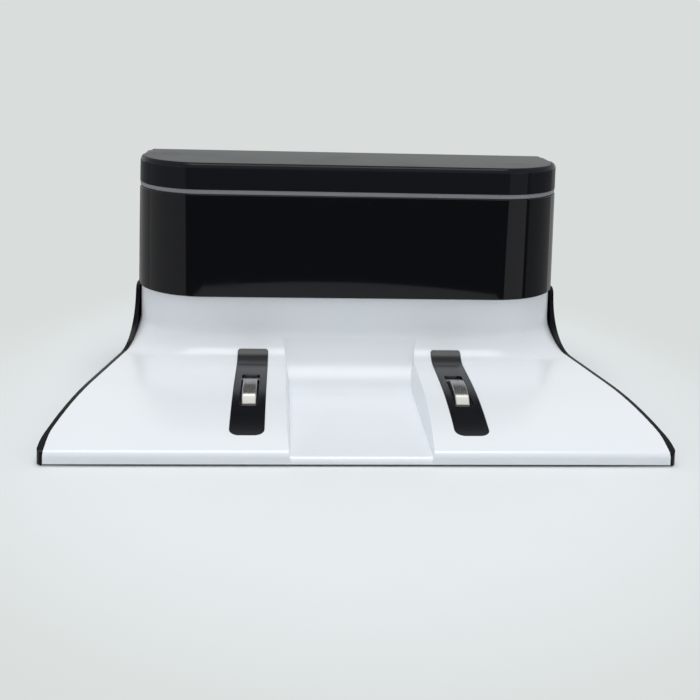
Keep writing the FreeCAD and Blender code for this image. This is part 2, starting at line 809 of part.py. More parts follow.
def make_top_cover():
    low = D["band_top"]
    high = D["height"]
    face = -D["panel_proud"]
    edge = high - D["cover_round"]
    ceiling = high - D["cover_wall"]
    section = [
        (wall_y(low, face), low),
        (wall_y(low, face + D["cover_wall"]), low),
        (wall_y(ceiling, face + D["cover_wall"]), ceiling),
        (D["corner_axis"], ceiling),
        (D["corner_axis"], high),
        (wall_y(edge, face) + D["cover_round"], high, D["cover_round"], "left"),
        (wall_y(edge, face), edge),
    ]
    front = wrapped("cover_front", section, QUARTER_TURN)
    rear = box(as_size(0), D["corner_axis"], ceiling, D["tower_width"], D["depth"] - D["corner_axis"],
               D["cover_wall"])
    front = common(front, outer_block("cover_front_limits", D["fit"], low, high))
    rear = common(rear, inner_block("cover_rear_limits", D["fit"], low, high))
    keep(fuse([front, rear], "top_cover_piece"), "top_cover")


# Base plate, feet and screws

def foot_places():
    front = (D["front_width"] / 2 - D["foot_front_side"], D["foot_front_edge"])
    back = (D["tower_width"] / 2 - D["foot_back_side"], D["depth"] - D["foot_back_edge"])
    return [(side * x, y) for x, y in (front, back) for side in SIDES.values()]


def base_screw_places():
    return shell_boss_places() + housing_boss_places()


def make_base_plate():
    body = new_body("base_plate_piece")
    under = D["foot_proud"]
    rim = inner_outline(2 * D["fit"], D["rim_setback"], 2 * D["fit"])
    pad(body, draw(body, "XY_Plane", [rim], lift=under), D["lip_height"] - under)
    inside_nose = D["nose_radius"] + 4 * D["fit"]
    step = inner_outline(2 * D["fit"], inside_nose, 2 * D["fit"])
    pad(body, draw(body, "XY_Plane", [step], lift=D["lip_height"]), D["plate_top"] - D["lip_height"])
    cups = [(x, y, D["cup_radius"]) for x, y in base_screw_places()]
    pad(body, draw(body, "XY_Plane", circles=cups, lift=under), D["cup_top"] - under)
    wells = [(x, y, D["screw_head"] + D["carrier_gap"]) for x, y in base_screw_places()]
    well_depth = D["cup_top"] - D["cup_floor"] - under
    pocket(body, draw(body, "XY_Plane", circles=wells, lift=under), well_depth, upward=True)
    holes = [(x, y, D["screw_hole"]) for x, y in base_screw_places()]
    pocket(body, draw(body, "XY_Plane", circles=holes))
    seats = [(x, y, D["foot_radius"]) for x, y in foot_places()]
    pocket(body, draw(body, "XY_Plane", circles=seats, lift=under), D["foot_recess"], upward=True)
    keep(body, "base_plate")


def make_feet():
    for number, (x, y) in enumerate(foot_places(), 1):
        body = new_body(f"foot_{number}_piece")
        disc = [(x, y, D["foot_radius"] - D["fit"])]
        pad(body, draw(body, "XY_Plane", circles=disc), D["foot_proud"] + D["foot_recess"])
        keep(body, f"foot_{number}")


def make_screws():
    screws = []
    for x, y in base_screw_places():
        seat = D["cup_top"] - D["cup_floor"]
        head = rod(x, y, seat - D["screw_head_height"], D["screw_head"], D["screw_head_height"])
        shank = rod(x, y, seat, D["screw_radius"], D["cup_floor"] + D["screw_reach"])
        screws.append(fuse([head, shank]))
    keep(group(screws, "base_screws_piece"), "base_screws")
    screws = []
    for x, z in post_places():
        head = rod(x, D["board_front"], z, D["screw_head"], D["screw_head_height"], forward=True)
        reach = D["board_wall"] + D["screw_reach"]
        shank = rod(x, D["board_front"] + reach, z, D["screw_radius"], reach, forward=True)
        screws.append(fuse([head, shank]))
    keep(group(screws, "board_screws_piece"), "board_screws")


# Inlays and sprung contacts

def shoe_profile(wall):
    """Hump of the contact in side view: steep front, gentle rise, level top and rear slope."""
    level = D["ramp_height"]
    front = D["shoe_front"] + wall
    back = D["shoe_front"] + D["shoe_length"] - wall
    ridge = D["shoe_front"] + D["shoe_steep"] + wall / 2
    shoulder = level - D["shoe_shoulder"] - wall / 2
    return [
        (front, shoulder),
        (ridge, level + D["shoe_ridge"] - wall),
        (ridge + D["shoe_rise"], level + D["shoe_proud"] - wall),
        (back - D["shoe_fall"] + wall / 2, level + D["shoe_proud"] - wall),
        (back, shoulder),
    ]


def hump_section(wall, low):
    profile = shoe_profile(wall)
    return [(profile[0][0], low)] + profile + [(profile[-1][0], low)]


def edge_across(shape, place):
    """Name of the edge that runs across a hump through a point of its side view."""
    for number, edge in enumerate(shape.Edges, 1):
        misses = [abs(vertex.Point.y - place[0].value) for vertex in edge.Vertexes]
        misses += [abs(vertex.Point.z - place[1].value) for vertex in edge.Vertexes]
        if max(misses) < TOUCH:
            return f"Edge{number}"
    raise ValueError("no edge across the hump there")


def long_edges(shape, x_faces, above):
    """Names of the edges along both long sides of a hump, above its skirt."""
    names = []
    for number, edge in enumerate(shape.Edges, 1):
        points = [vertex.Point for vertex in edge.Vertexes]
        on_side = any(all(abs(point.x - x) < TOUCH for point in points) for x in x_faces)
        if on_side and all(point.z > above - TOUCH for point in points):
            names.append(f"Edge{number}")
    return names


def round_edges(body, feature, names, radius):
    rounding = body.newObject("PartDesign::Fillet", "rounding")
    rounding.Base = (feature, names)
    bind(rounding, "Radius", radius)
    doc.recompute()
    return rounding


def bend_hump(body, blank, wall):
    """Round a hump where its slopes meet, tighter by the sheet's thickness on the inner side."""
    bent = blank
    for place, radius in zip(shoe_profile(wall)[1:4], ("shoe_bend", "shoe_crown", "shoe_bend")):
        doc.recompute()
        bent = round_edges(body, bent, [edge_across(bent.Shape, place)], D[radius] - wall)
    return bent


def make_shoe(label, side):
    body = new_body(f"contact_shoe_{label}_piece")
    middle = contact_x(side)
    skirt = D["ramp_height"] - D["shoe_skirt"]
    shoulder = shoe_profile(as_size(0))[0][1].value
    sketch = draw(body, "YZ_Plane", [hump_section(as_size(0), skirt)], lift=middle)
    blank = pad(body, sketch, D["shoe_width"], both_ways=True)
    bent = bend_hump(body, blank, as_size(0))
    half = D["shoe_width"].value / 2
    faces = (middle.value - half, middle.value + half)
    round_edges(body, bent, long_edges(bent.Shape, faces, shoulder), D["shoe_round"])
    core = new_body(f"shoe_core_{label}")
    inner = pad(core, draw(core, "YZ_Plane", [hump_section(D["shoe_wall"], skirt - BEYOND)], lift=middle),
                D["shoe_width"] - 2 * D["shoe_wall"], both_ways=True)
    bend_hump(core, inner, D["shoe_wall"])
    keep(cut(body, core, f"contact_shoe_{label}_shell"), f"contact_shoe_{label}")


def guide_cell():
    """Half width and half length of the space in which the carrier's flange moves."""
    return D["flange_width"] / 2 + D["carrier_gap"], D["flange_reach"] + D["carrier_gap"]


def guide_top():
    """The guide reaches up to the shell where the ramp is lowest over it."""
    front = D["slot_place"] - guide_cell()[1] - D["guide_wall"]
    return ramp_level(front, D["shell_wall"]) - D["fit"]


def flange_top():
    return guide_top() - D["guide_lip"] - D["lip_gap"]


def make_carrier(label, side):
    body = new_body(f"contact_carrier_{label}_piece")
    middle = contact_x(side)
    low = flange_top() - D["flange_wall"]
    post = pad(body, draw(body, "YZ_Plane", [hump_section(D["shoe_wall"], low)], lift=middle),
               D["shoe_width"] - 2 * D["shoe_wall"], both_ways=True)
    bend_hump(body, post, D["shoe_wall"])
    half = D["flange_width"] / 2
    reach = D["flange_reach"]
    flange = rectangle(middle - half, D["slot_place"] - reach, middle + half, D["slot_place"] + reach)
    pad(body, draw(body, "XY_Plane", [flange], lift=low), D["flange_wall"])
    keep(body, f"contact_carrier_{label}")


def make_guide(label, side):
    body = new_body(f"contact_guide_{label}_piece")
    middle = contact_x(side)
    cell_x, cell_y = guide_cell()
    outer_x = cell_x + D["guide_wall"]
    outer_y = cell_y + D["guide_wall"]
    mouth_x = D["shoe_width"] / 2 + D["carrier_gap"]
    mouth_front = D["shoe_front"] - D["carrier_gap"]
    mouth_back = D["shoe_front"] + D["shoe_length"] + D["carrier_gap"]
    place = D["slot_place"]
    low = D["plate_top"]
    outer = rectangle(middle - outer_x, place - outer_y, middle + outer_x, place + outer_y)
    pad(body, draw(body, "XY_Plane", [outer], lift=low), guide_top() - low)
    cell = rectangle(middle - cell_x, place - cell_y, middle + cell_x, place + cell_y)
    pocket(body, draw(body, "XY_Plane", [cell], lift=low), guide_top() - D["guide_lip"] - low, upward=True)
    mouth = rectangle(middle - mouth_x, mouth_front, middle + mouth_x, mouth_back)
    pocket(body, draw(body, "XY_Plane", [mouth]))
    gate_x = D["terminal_width"] / 2 + D["fit"]
    gate = rectangle(middle - gate_x, place, middle + gate_x, place + outer_y + BEYOND)
    gate_height = D["terminal_wall"] + D["fit"]
    pocket(body, draw(body, "XY_Plane", [gate], lift=low), gate_height, upward=True)
    keep(body, f"contact_guide_{label}")


def terminal_back():
    return D["slot_place"] + guide_cell()[1] + D["guide_wall"] + D["terminal_tab"]


def make_terminal(label, side):
    body = new_body(f"contact_terminal_{label}_piece")
    middle = contact_x(side)
    half = D["terminal_width"] / 2
    plate = rectangle(middle - half, D["slot_place"] - D["flange_reach"], middle + half, terminal_back())
    pad(body, draw(body, "XY_Plane", [plate], lift=D["plate_top"]), D["terminal_wall"])
    keep(body, f"contact_terminal_{label}")


def make_spring(label, side):
    """Bowed leaf that stands on the terminal and lifts the carrier."""
    body = new_body(f"contact_spring_{label}_piece")
    low = D["plate_top"] + D["terminal_wall"]
    rise = flange_top() - D["flange_wall"] - low
    half = D["spring_span"] / 2
    radius = (half * half + rise * rise) / (2 * rise)
    inner = radius - D["spring_wall"]
    drop = radius - rise
    inner_half = root(inner * inner - drop * drop)
    place = D["slot_place"]
    bow = [
        (place - half, low, radius, "right"),
        (place + half, low),
        (place + inner_half, low, inner, "left"),
        (place - inner_half, low),
    ]
    pad(body, draw(body, "YZ_Plane", [bow], lift=contact_x(side)), D["spring_width"], both_ways=True)
    keep(body, f"contact_spring_{label}")


def make_contacts():
    for label, side in SIDES.items():
        bezel = bezel_form(f"contact_bezel_{label}_piece", side, as_size(0), D["bezel_wall"], as_size(0))
        pocket(bezel, draw(bezel, "XY_Plane", [slot_outline(side, as_size(0))]))
        keep(bezel, f"contact_bezel_{label}")
        make_shoe(label, side)
        make_carrier(label, side)
        make_guide(label, side)
        make_terminal(label, side)
        make_spring(label, side)


# Board, emitters, inlet and leads

def make_board():
    front = D["board_front"]
    plate = box(as_size(0), front, D["board_bottom"], D["board_width"], D["board_wall"],
                D["board_top"] - D["board_bottom"])
    holes = [rod(x, front + D["board_wall"], z, D["screw_hole"], D["board_wall"], forward=True)
             for x, z in post_places()]
    keep(cut(plate, fuse(holes), "control_board_piece"), "control_board")
    header = new_body("lead_header_piece")
    half = D["header_width"] / 2
    outline = rectangle(-half, front - D["header_length"], half, front)
    pad(header, draw(header, "XY_Plane", [outline], lift=D["board_bottom"]), D["header_height"])
    keep(header, "lead_header")


def make_emitters():
    for number, step in enumerate((-1.5, -0.5, 0.5, 1.5), 1):
        x = step * D["emitter_pitch"]
        z = D["emitter_height"]
        barrel = rod(x, D["board_front"], z, D["emitter_radius"], D["emitter_length"], forward=True)
        tip = doc.addObject("Part::Cone", "tip")
        bind(tip, "Radius1", D["emitter_radius"])
        bind(tip, "Radius2", D["emitter_tip"])
        bind(tip, "Height", D["emitter_taper"])
        tip.Placement.Rotation = FORWARD
        move(tip, x, D["board_front"] - D["emitter_length"], z)
        keep(fuse([barrel, tip], f"ir_emitter_{number}_piece"), f"ir_emitter_{number}")


def make_shroud():
    """Baffle that splits the two middle beams."""
    front = D["board_front"] - D["shroud_length"]
    low = D["emitter_height"] - D["shroud_height"] / 2
    block = box(as_size(0), front, low, D["shroud_width"], D["shroud_length"], D["shroud_height"])
    port_height = D["shroud_height"] - 2 * D["shroud_wall"]
    ports = [box(side * D["emitter_pitch"] / 2, front, low + D["shroud_wall"], D["shroud_port"],
                 D["shroud_length"], port_height) for side in SIDES.values()]
    keep(cut(block, fuse(ports), "beam_shroud_piece"), "beam_shroud")


def make_jack():
    back = D["depth"] - D["dish_depth"]
    inner_face = D["depth"] - D["back_wall"]
    body = box(D["jack_x"], inner_face - D["jack_length"], D["jack_z"] - D["jack_width"] / 2, D["jack_width"],
               D["jack_length"], D["jack_width"])
    barrel = rod(D["jack_x"], back, D["jack_z"], D["jack_barrel"], back - inner_face, forward=True)
    bore = rod(D["jack_x"], back, D["jack_z"], D["jack_bore"], D["jack_bore_depth"], forward=True)
    reach = D["jack_bore_depth"] - D["jack_pin_short"]
    pin = rod(D["jack_x"], back - D["jack_pin_short"], D["jack_z"], D["jack_pin"], reach, forward=True)
    keep(fuse([cut(fuse([body, barrel]), bore), pin], "dc_jack_piece"), "dc_jack")


def lead_path(points):
    """Straight runs joined by tangent arcs, each as large as its two runs allow."""
    edges = []
    start = points[0]
    for before, corner, after in zip(points, points[1:], points[2:]):
        run_in = corner - before
        run_out = after - corner
        share_in = END_SHARE if before is points[0] else MIDDLE_SHARE
        share_out = END_SHARE if after is points[-1] else MIDDLE_SHARE
        setback = min(share_in * run_in.Length, share_out * run_out.Length)
        entry = corner - FreeCAD.Vector(run_in).normalize() * setback
        leave = corner + FreeCAD.Vector(run_out).normalize() * setback
        half_turn = run_in.getAngle(run_out) / 2
        radius = setback / math.tan(half_turn)
        print("lead bend radius", round(radius, 1))
        inward = ((entry + leave) / 2 - corner).normalize()
        middle = corner + inward * (radius / math.cos(half_turn) - radius)
        edges.append(Part.LineSegment(start, entry).toShape())
        edges.append(Part.Arc(entry, middle, leave).toShape())
        start = leave
    edges.append(Part.LineSegment(start, points[-1]).toShape())
    return Part.Wire(edges)


def make_lead(label, points):
    path = lead_path([FreeCAD.Vector(*[as_size(place).value for place in point]) for point in points])
    first = path.Edges[0]
    ring = Part.Circle(first.Vertexes[0].Point, first.tangentAt(first.FirstParameter), D["lead_radius"].value)
    thing = doc.addObject("Part::Feature", f"{label}_piece")
    thing.Shape = path.makePipeShell([Part.Wire(ring.toShape())], True, False)
    section = math.pi * D["lead_radius"].value ** 2
    print(label, "volume over section times length", round(thing.Shape.Volume / (section * path.Length), 4))
    keep(thing, label)


def make_leads():
    """Leads from both terminals and from the inlet, side by side into the header from below."""
    rest = D["plate_top"] + D["lead_radius"]
    plug_y = D["board_front"] - D["header_length"] / 2
    pitch = D["header_width"] / 3
    under_plug = D["board_bottom"] - D["lead_rise"]
    for label, side, plug_x in (("left", -1, -pitch), ("right", 1, as_size(0))):
        x = contact_x(side)
        make_lead(f"contact_lead_{label}", [
            (x, terminal_back(), rest),
            (x, terminal_back() + D["lead_run"], rest),
            (plug_x, plug_y, under_plug),
            (plug_x, plug_y, D["board_bottom"]),
        ])
    jack_front = D["depth"] - D["back_wall"] - D["jack_length"]
    make_lead("inlet_lead", [
        (D["jack_x"], jack_front, D["jack_z"]),
        (D["jack_x"], jack_front - D["lead_clear"], D["jack_z"]),
        (pitch, plug_y, under_plug),
        (pitch, plug_y, D["board_bottom"]),
    ])


make_ramp_shell()
make_rear_housing()
make_front_band("ir_window", D["panel_bottom"], D["band_bottom"], as_size(0), D["panel_wall"])
make_front_band("accent_strip", D["band_bottom"], D["band_top"], D["band_sink"], D["band_wall"])
make_top_cover()
make_base_plate()
make_feet()
make_screws()
make_contacts()
make_board()
make_emitters()
make_shroud()
make_jack()
make_leads()
doc.recompute()


# Checks before anything is written

def failed(thing):
    return "Invalid" in thing.State or "Error" in thing.State


for thing in doc.Objects:
    if failed(thing):
        raise RuntimeError(f"{thing.Name} ({thing.Label}) failed to build")
    if thing.TypeId in ("PartDesign::Pocket", "PartDesign::Groove"):
        if thing.Shape.Volume > thing.BaseFeature.Shape.Volume - 1e-6:
            raise RuntimeError(f"{thing.Name} cuts nothing")

os.makedirs("parts", exist_ok=True)
for node in nodes:
    if node.Shape.isNull() or not node.Shape.isValid():
        raise RuntimeError(f"{node.Label} has no valid shape")
    print(node.Label, len(node.Shape.Solids), round(node.Shape.Volume, 1))
for node in nodes:
    node.Shape.exportStep(f"parts/{node.Label}.step")
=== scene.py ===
# %% [markdown]
# A charging dock for a robot vacuum stands on a pale studio floor. The solids come from the imported model,
# in metres, and never move. This lesson gives them their finishes, adds the fine detail that a solid model
# leaves out, and sets up the camera and the light.

# %% Load the imported model
import math

import bmesh
import bpy
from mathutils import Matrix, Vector
from mathutils.bvhtree import BVHTree
from mathutils.geometry import barycentric_transform


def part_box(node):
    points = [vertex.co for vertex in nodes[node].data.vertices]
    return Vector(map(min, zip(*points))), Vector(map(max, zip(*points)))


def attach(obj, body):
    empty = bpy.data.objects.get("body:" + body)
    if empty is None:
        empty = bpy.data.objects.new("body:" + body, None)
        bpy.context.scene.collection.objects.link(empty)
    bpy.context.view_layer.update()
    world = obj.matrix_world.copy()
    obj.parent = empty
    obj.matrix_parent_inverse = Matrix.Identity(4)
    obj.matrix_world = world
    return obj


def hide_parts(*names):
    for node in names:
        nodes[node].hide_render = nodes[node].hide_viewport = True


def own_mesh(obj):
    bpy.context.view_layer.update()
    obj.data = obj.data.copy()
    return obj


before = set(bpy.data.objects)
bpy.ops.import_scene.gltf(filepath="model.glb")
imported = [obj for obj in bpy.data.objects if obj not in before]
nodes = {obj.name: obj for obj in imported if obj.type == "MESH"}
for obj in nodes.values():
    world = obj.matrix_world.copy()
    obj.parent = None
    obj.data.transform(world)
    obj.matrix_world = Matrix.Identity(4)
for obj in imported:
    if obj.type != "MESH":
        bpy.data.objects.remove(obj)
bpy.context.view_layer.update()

MM = 0.001
scene = bpy.context.scene


# %% [markdown]
# The photograph is a square frame, taken from a little left of the middle and slightly above the tower with
# a normal lens. Such a view could be set by eye. Here the place, the turn and the lens were worked out from
# the dock's edges in the photograph, because its sizes come from the same sums. The small shift moves the
# frame without tilting the camera, so the upright edges keep their slant.

# %% Camera
PHOTO_PIXELS = 700
FOCAL_PIXELS = 1050
SHIFT_PIXELS = -20
SENSOR_WIDTH = 36.0
CAMERA_PLACE = (-26.9, -399.3, 148.2)
CAMERA_TURN = (73.424, -1.524, -3.246)

camera_data = bpy.data.cameras.new("dock_camera")
camera_data.sensor_width = SENSOR_WIDTH
camera_data.lens = SENSOR_WIDTH * FOCAL_PIXELS / PHOTO_PIXELS
camera_data.shift_y = SHIFT_PIXELS / PHOTO_PIXELS
camera = bpy.data.objects.new("dock_camera", camera_data)
camera.location = [part * MM for part in CAMERA_PLACE]
camera.rotation_euler = [math.radians(angle) for angle in CAMERA_TURN]
scene.collection.objects.link(camera)
scene.camera = camera
scene.view_settings.view_transform = "Standard"
print("lens", camera_data.lens, "mm")


# %% [markdown]
# A finish is a small graph of shader nodes. The nodes could be added and linked one by one, but sums of
# them soon get hard to follow. So one class wraps a socket and turns Python's + - * into Math nodes, and
# another makes any node from its type, its settings and the values or links of its inputs.

# %% Shader sums
class Tone:
    """A shader value that Python sums can use."""

    def __init__(self, graph, socket):
        self.graph = graph
        self.socket = socket

    def __add__(self, other):
        return self.graph.math("ADD", self, other)

    def __radd__(self, other):
        return self.graph.math("ADD", other, self)

    def __sub__(self, other):
        return self.graph.math("SUBTRACT", self, other)

    def __rsub__(self, other):
        return self.graph.math("SUBTRACT", other, self)

    def __mul__(self, other):
        return self.graph.math("MULTIPLY", self, other)

    def __rmul__(self, other):
        return self.graph.math("MULTIPLY", other, self)


class Graph:
    """A tree of shader nodes."""

    def __init__(self, tree):
        self.tree = tree

    def feed(self, socket, value):
        """Link a tone to a socket, or set a plain value on it."""
        if isinstance(value, Tone):
            self.tree.links.new(value.socket, socket)
        else:
            socket.default_value = value

    def node(self, kind, settings=None, inputs=None, output=0):
        made = self.tree.nodes.new(kind)
        for name, value in (settings or {}).items():
            setattr(made, name, value)
        for name, value in (inputs or {}).items():
            self.feed(made.inputs[name], value)
        return Tone(self, made.outputs[output])

    def math(self, operation, first, second):
        return self.node("ShaderNodeMath", {"operation": operation}, {0: first, 1: second})

    def blend(self, factor, first, second):
        """Mix two colours. The Mix node keeps its colour sockets at inputs 6 and 7 and output 2."""
        return self.node("ShaderNodeMix", {"data_type": "RGBA"}, {0: factor, 6: first, 7: second}, output=2)


# %% [markdown]
# Every surface of the dock has a tone that drifts a little, a gloss that varies and a fine grain. Painted
# images could carry all that, but they need an unwrapped mesh. Noise that reads Object coordinates doesn't,
# and because the pieces sit unscaled at the origin, its scale counts in grains per metre.

# %% Finishes
class Finish(Graph):
    """One material, built node by node around its Principled shader."""

    def __init__(self, name, **constants):
        self.material = bpy.data.materials.new(name)
        self.material.use_nodes = True
        super().__init__(self.material.node_tree)
        self.shader = self.tree.nodes["Principled BSDF"]
        for socket, value in constants.items():
            self.set(socket.replace("_", " "), value)

    def set(self, socket, value):
        self.feed(self.shader.inputs[socket], value)

    def place(self, scale=(1, 1, 1)):
        """Object coordinates in metres, stretched by scale."""
        coordinates = self.node("ShaderNodeTexCoord", output="Object")
        return self.node("ShaderNodeMapping", inputs={"Vector": coordinates, "Scale": scale})

    def along(self, axis):
        """The place along X, Y or Z in metres."""
        return self.node("ShaderNodeSeparateXYZ", inputs={0: self.place()}, output=axis)

    def noise(self, scale, detail, stretch=(1, 1, 1)):
        inputs = {"Vector": self.place(stretch), "Scale": scale, "Detail": detail}
        return self.node("ShaderNodeTexNoise", inputs=inputs)

    def limits(self, value, low, high):
        """Turn the part of value between low and high into 0 to 1, smoothly."""
        return self.node("ShaderNodeMapRange", {"interpolation_type": "SMOOTHSTEP"},
                         {"Value": value, "From Min": low, "From Max": high})

    def mottle(self, tones, scale, detail):
        """Let the colour drift between two tones."""
        self.set("Base Color", self.blend(self.noise(scale, detail), *tones))

    def bump(self, height, strength, distance):
        inputs = {"Height": height, "Strength": strength, "Distance": distance}
        self.set("Normal", self.node("ShaderNodeBump", inputs=inputs))


# %% [markdown]
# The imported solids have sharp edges, and a moulded edge never is: its small radius is what catches the
# light. A Bevel modifier would round all edges alike. Here a copy is rounded edge by edge, because each
# place on the dock has a radius of its own. A CAD mesh is loose triangles, so the copy is first welded and
# its flat fans are joined into whole faces: a bevel needs clean edges. It then runs along the edges that a
# test picks out. Radii, and the places that the tests compare, are in millimetres.

# %% Welded copies with soft edges
WELD = 0.002 * MM
SAME_PLANE = 0.004
CREASE = math.radians(25)


def welded(name):
    """A CAD node's mesh as one closed shape, with a mark on its faces for the soft edges to come."""
    shape = bmesh.new()
    shape.from_mesh(nodes[name].data)
    bmesh.ops.remove_doubles(shape, verts=shape.verts, dist=WELD)
    bmesh.ops.dissolve_limit(shape, angle_limit=SAME_PLANE, verts=shape.verts, edges=shape.edges)
    shape.faces.layers.int.new("soft")
    return shape


def round_off(shape, parts, radius, steps, affect="EDGES"):
    return bmesh.ops.bevel(shape, geom=parts, offset=radius * MM, offset_type="OFFSET", segments=steps,
                           profile=0.5, affect=affect, material=-1, clamp_overlap=True)


def soften(shape, test, radius, steps):
    """Round the creased edges for which test(middle, normals, outward) holds, and mark the new faces."""
    chosen = []
    for edge in shape.edges:
        if len(edge.link_faces) == 2 and edge.calc_face_angle() > CREASE:
            middle = (edge.verts[0].co + edge.verts[1].co) / 2 / MM
            normals = [face.normal for face in edge.link_faces]
            if test(middle, normals, edge.is_convex):
                chosen.append(edge)
    made = round_off(shape, chosen, radius, steps)
    soft = shape.faces.layers.int["soft"]
    for face in made["faces"]:
        face[soft] = 1
    shape.normal_update()
    return len(chosen)


# %% [markdown]
# A moulded surface is smooth right up to its rounded edge. A copy that averaged its own normals would look
# dented around every bevel, and weighting them by area helps flat faces only. So each face corner takes the
# normal of the CAD surface under it, found a hair inside the corner, and only the bevels turn smoothly from
# one surface to the other.

# %% Normals from the CAD surface
STEP_IN = 0.02 * MM
SAME_SURFACE = 0.9


def surface_normals(shape, node):
    """One normal for each face corner: the CAD surface's, and between two surfaces a smooth turn."""
    mesh = nodes[node].data
    corners = [normal.vector for normal in mesh.corner_normals]
    points = [vertex.co for vertex in mesh.vertices]
    triangles = [tuple(face.vertices) for face in mesh.polygons]
    tree = BVHTree.FromPolygons(points, triangles)
    soft = shape.faces.layers.int["soft"]
    known = {}
    on_edge = {}
    for face in shape.faces:
        if face[soft]:
            continue
        for loop in face.loops:
            inside = loop.vert.co + loop.calc_tangent() * STEP_IN
            place, _, index, _ = tree.find_nearest(inside)
            triangle = [points[number] for number in triangles[index]]
            turns = [corners[number] for number in mesh.polygons[index].loop_indices]
            normal = barycentric_transform(place, *triangle, *turns).normalized()
            if normal.dot(face.normal) < SAME_SURFACE:
                normal = face.normal.copy()
            known[loop] = normal
            on_edge.setdefault(loop.vert, []).append(normal)
    for face in shape.faces:
        if not face[soft]:
            continue
        for loop in face.loops:
            around = [other.normal for other in loop.vert.link_faces if other[soft]]
            turned = sum(around, Vector()).normalized()
            choice = on_edge.get(loop.vert, [turned])
            known[loop] = max(choice, key=turned.dot)
    return [known[loop] for face in shape.faces for loop in face.loops]


# %% [markdown]
# A finished copy shows in place of its solid. The solid's own mesh could be changed instead, but it belongs
# to the imported model. So the copy is an object of its own that rides on the dock and is named after the
# node it replaces.

# %% Copies in place of solids
def link_mesh(name, shape, finish):
    mesh = bpy.data.meshes.new(name)
    shape.to_mesh(mesh)
    shape.free()
    mesh.materials.append(finish.material)
    made = bpy.data.objects.new(name, mesh)
    scene.collection.objects.link(made)
    return made


def stand_for(node, shape, finish):
    """Show a finished copy in place of its CAD node."""
    normals = surface_normals(shape, node)
    made = link_mesh(f"{node}_moulded", shape, finish)
    made.data.polygons.foreach_set("use_smooth", [True] * len(made.data.polygons))
    made.data.normals_split_custom_set(normals)
    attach(made, "dock")
    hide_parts(node)
    print(made.name, len(made.data.polygons), "faces")
    return made


# %% [markdown]
# The ramp is injection-moulded white plastic with a satin finish: the mould's spark-eroded grain softens
# the highlights without hiding them. Modelled grain would take millions of faces, so a very fine noise
# bumps the surface instead, and a coarse one drifts its tone by a few percent.

# %% White moulded shell
WHITE_TONES = ((0.775, 0.805, 0.84, 1), (0.805, 0.835, 0.865, 1))


def satin_white():
    finish = Finish("satin_white", Specular_IOR_Level=0.55)
    finish.mottle(WHITE_TONES, scale=22, detail=3)
    finish.set("Roughness", 0.20 + 0.08 * finish.noise(scale=60, detail=4))
    finish.bump(finish.noise(scale=4200, detail=2), strength=0.06, distance=0.04 * MM)
    return finish


WHITE = satin_white()
print("finish", WHITE.material.name)

# %% [markdown]
# On the ramp the caster channel's two walls meet the ramp and the floor in soft edges, and the rim along
# the cheeks is eased. One radius for all would be quicker, but the channel's edges are much softer than the
# rim, and its walls fade out at both ends, where a large radius finds no room. So each test names a kind of
# edge and where it stops.

# %% Ramp shell
CHANNEL_EDGE_X = (24.4, 27.4)
CHANNEL_EDGE_Y = 13.2
FOOT_Y = -60.0
RIM_X = 84.0
SIDEWAYS = 0.9
CHANNEL_LOWEST = -0.1
RIM_LOWEST = -0.5


def lowest(normals):
    """How far up the lower of two faces looks: 1 is level, 0 upright and -1 an underside."""
    return min(normal.z for normal in normals)


def on_channel(middle, normals):
    across = CHANNEL_EDGE_X[0] < abs(middle.x) < CHANNEL_EDGE_X[1]
    return across and middle.y < CHANNEL_EDGE_Y and lowest(normals) > CHANNEL_LOWEST


def channel_shoulder(middle, normals, outward):
    return outward and on_channel(middle, normals)


def channel_foot(middle, normals, outward):
    return not outward and middle.y > FOOT_Y and on_channel(middle, normals)


def beside_cheek(middle, normals, outward):
    faces_side = max(abs(normal.x) for normal in normals) > SIDEWAYS
    return outward and faces_side and abs(middle.x) > RIM_X and lowest(normals) > RIM_LOWEST


ramp = welded("ramp_shell")
print("channel shoulder", soften(ramp, channel_shoulder, radius=1.5, steps=5))
print("channel foot", soften(ramp, channel_foot, radius=0.9, steps=4))
print("rim", soften(ramp, beside_cheek, radius=0.45, steps=2))
stand_for("ramp_shell", ramp, WHITE)

# %% [markdown]
# The window, the cover and the inlays are polished black plastic. An even black would do from afar, but
# polished black is never quite even: handling leaves faint films that widen the highlights, and a few
# grains of dust catch the light. Noise gives the films, and Voronoi cells, kept only in patches, give the
# dust.

# %% Polished black plastic
COOL = (1.0, 1.04, 1.4)
DUST_TONE = (0.12, 0.12, 0.12, 1)
FILM_LIMITS = (0.45, 0.75)
GRAIN_LIMITS = (0.05, 0.025)
PATCH_LIMITS = (0.56, 0.6)
FILM_DULL = 0.05
DUST_DULL = 0.3


def polished_black(name, tone, rough, shine):
    finish = Finish(name, Specular_IOR_Level=shine)
    film = finish.limits(finish.noise(scale=34, detail=5), *FILM_LIMITS)
    cells = finish.node("ShaderNodeTexVoronoi", inputs={"Vector": finish.place(), "Scale": 420})
    patches = finish.limits(finish.noise(scale=120, detail=1), *PATCH_LIMITS)
    dust = finish.limits(cells, *GRAIN_LIMITS) * patches
    dark = (*(tone * part for part in COOL), 1)
    finish.set("Base Color", finish.blend(dust, dark, DUST_TONE))
    finish.set("Roughness", rough + FILM_DULL * film + DUST_DULL * dust)
    finish.bump(finish.noise(scale=160, detail=2), strength=0.01, distance=0.1 * MM)
    return finish


WINDOW = polished_black("window_black", tone=0.0042, rough=0.04, shine=0.3)
COVER = polished_black("cover_black", tone=0.010, rough=0.16, shine=0.016)
INLAY = polished_black("inlay_black", tone=0.006, rough=0.2, shine=0.3)
print("finishes", [finish.material.name for finish in (WINDOW, COVER, INLAY)])

